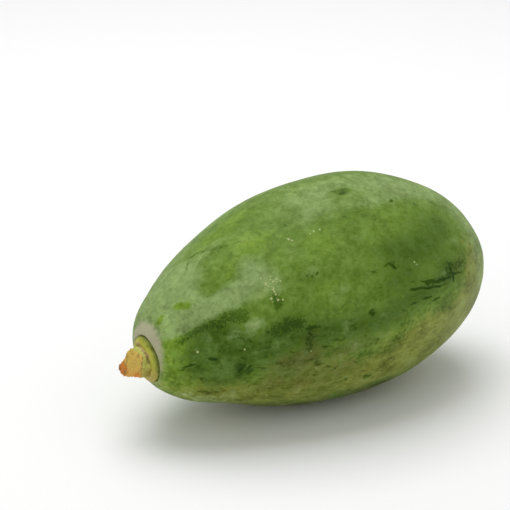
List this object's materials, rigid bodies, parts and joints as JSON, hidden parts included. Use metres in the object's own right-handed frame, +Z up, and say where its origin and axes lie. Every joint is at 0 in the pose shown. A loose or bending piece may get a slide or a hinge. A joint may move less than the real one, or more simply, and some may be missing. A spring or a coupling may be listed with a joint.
{
  "type": "papaya",
  "caption": "Whole unripe green papaya lying on its side, with soft lengthwise ridges, a calyx collar and a short stub of broken stalk.",
  "frame": {"origin": "middle of the small flat spot on the underside that the fruit rests on", "axes": "+Z up off the surface, -X towards the stalk, +X towards the blossom end, +Y across the fruit"},
  "size_m": [0.2502, 0.1397, 0.1335],
  "materials": {
    "fruit_skin": "waxy satin skin with a thin grey bloom, mottled greens, darker scuffs and fine pale specks",
    "stalk": "dry fibrous broken face, tan to orange brown, on a pale yellow-green neck and collar"
  },
  "bodies": {
    "root": {"fruit": "fruit_skin", "stalk": "stalk"}
  },
  "joints": []
}
